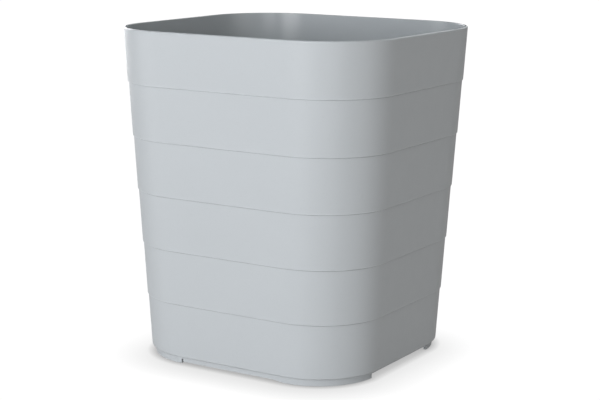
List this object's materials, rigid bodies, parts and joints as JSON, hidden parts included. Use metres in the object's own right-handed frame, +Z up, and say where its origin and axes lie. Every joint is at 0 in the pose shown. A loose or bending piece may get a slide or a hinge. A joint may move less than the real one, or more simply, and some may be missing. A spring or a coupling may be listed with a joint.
{
  "type": "wastebasket",
  "caption": "Open-topped tapering wastebasket with a rounded-rectangle plan, a stepped banded wall, and low corner feet.",
  "frame": {"origin": "on the floor, under the middle of the basket", "axes": "+Z up, +X across the wider side of the rim, the front is the -Y side"},
  "size_m": [0.2398, 0.2318, 0.27],
  "materials": {
    "wall_plastic": "satin, fine moulded texture",
    "base_plastic": "satin, fine moulded texture"
  },
  "bodies": {
    "root": {"rim_band": "wall_plastic", "second_band": "wall_plastic", "third_band": "wall_plastic", "fourth_band": "wall_plastic", "fifth_band": "wall_plastic", "heel_band": "wall_plastic", "floor_pan": "base_plastic", "base_ring": "base_plastic", "foot_front_left": "base_plastic", "foot_front_right": "base_plastic", "foot_rear_left": "base_plastic", "foot_rear_right": "base_plastic"}
  },
  "joints": []
}
